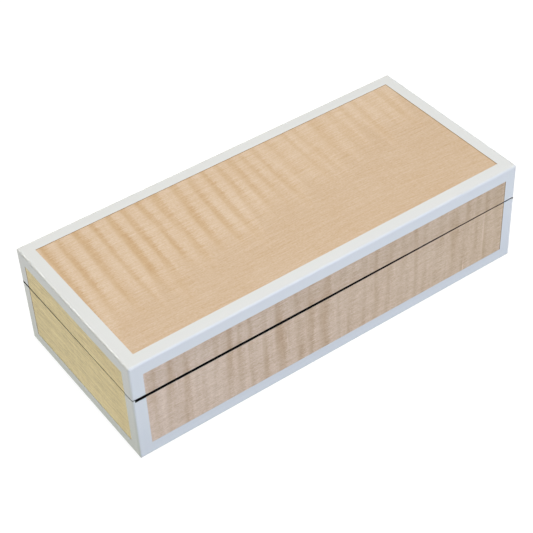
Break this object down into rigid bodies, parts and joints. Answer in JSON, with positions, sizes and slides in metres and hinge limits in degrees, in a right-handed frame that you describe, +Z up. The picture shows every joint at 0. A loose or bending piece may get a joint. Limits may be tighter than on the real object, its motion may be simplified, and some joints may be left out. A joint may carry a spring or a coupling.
{
  "type": "lidded wooden box",
  "caption": "Long lacquered wooden box with figured veneer panels inside white borders and a lift-off lid that sits on an inner lip.",
  "frame": {"origin": "on the surface that the box stands on, under the middle of its footprint", "axes": "+X along the box's length, -Y towards its front, +Z up, the way the lid lifts"},
  "size_m": [0.27, 0.12, 0.0703],
  "materials": {
    "white_lacquer": "satin-gloss off-white lacquer over wood, black on the rims",
    "sycamore_veneer": "figured sycamore veneer under clear satin lacquer",
    "black_liner": "satin black lacquer",
    "lining_pad": "black suede cloth over card",
    "underside_felt": "dark felt"
  },
  "bodies": {
    "base": {"base_bottom_board": "white_lacquer", "base_front_wall": "white_lacquer", "base_back_wall": "white_lacquer", "base_left_wall": "white_lacquer", "base_right_wall": "white_lacquer", "base_front_veneer": "sycamore_veneer", "base_back_veneer": "sycamore_veneer", "base_left_veneer": "sycamore_veneer", "base_right_veneer": "sycamore_veneer", "base_front_liner": "black_liner", "base_back_liner": "black_liner", "base_left_liner": "black_liner", "base_right_liner": "black_liner", "floor_pad": "lining_pad", "underside_felt": "underside_felt"},
    "lid": {"lid_top_board": "white_lacquer", "lid_front_wall": "white_lacquer", "lid_back_wall": "white_lacquer", "lid_left_wall": "white_lacquer", "lid_right_wall": "white_lacquer", "lid_top_veneer": "sycamore_veneer", "lid_front_veneer": "sycamore_veneer", "lid_back_veneer": "sycamore_veneer", "lid_left_veneer": "sycamore_veneer", "lid_right_veneer": "sycamore_veneer", "lid_front_liner": "black_liner", "lid_back_liner": "black_liner", "lid_left_liner": "black_liner", "lid_right_liner": "black_liner", "ceiling_pad": "lining_pad"}
  },
  "joints": [
    {"name": "lid_lift", "type": "slide", "parent": "base", "child": "lid", "axis": [0, 0, 1], "range_m": [0, 0.1]}
  ]
}
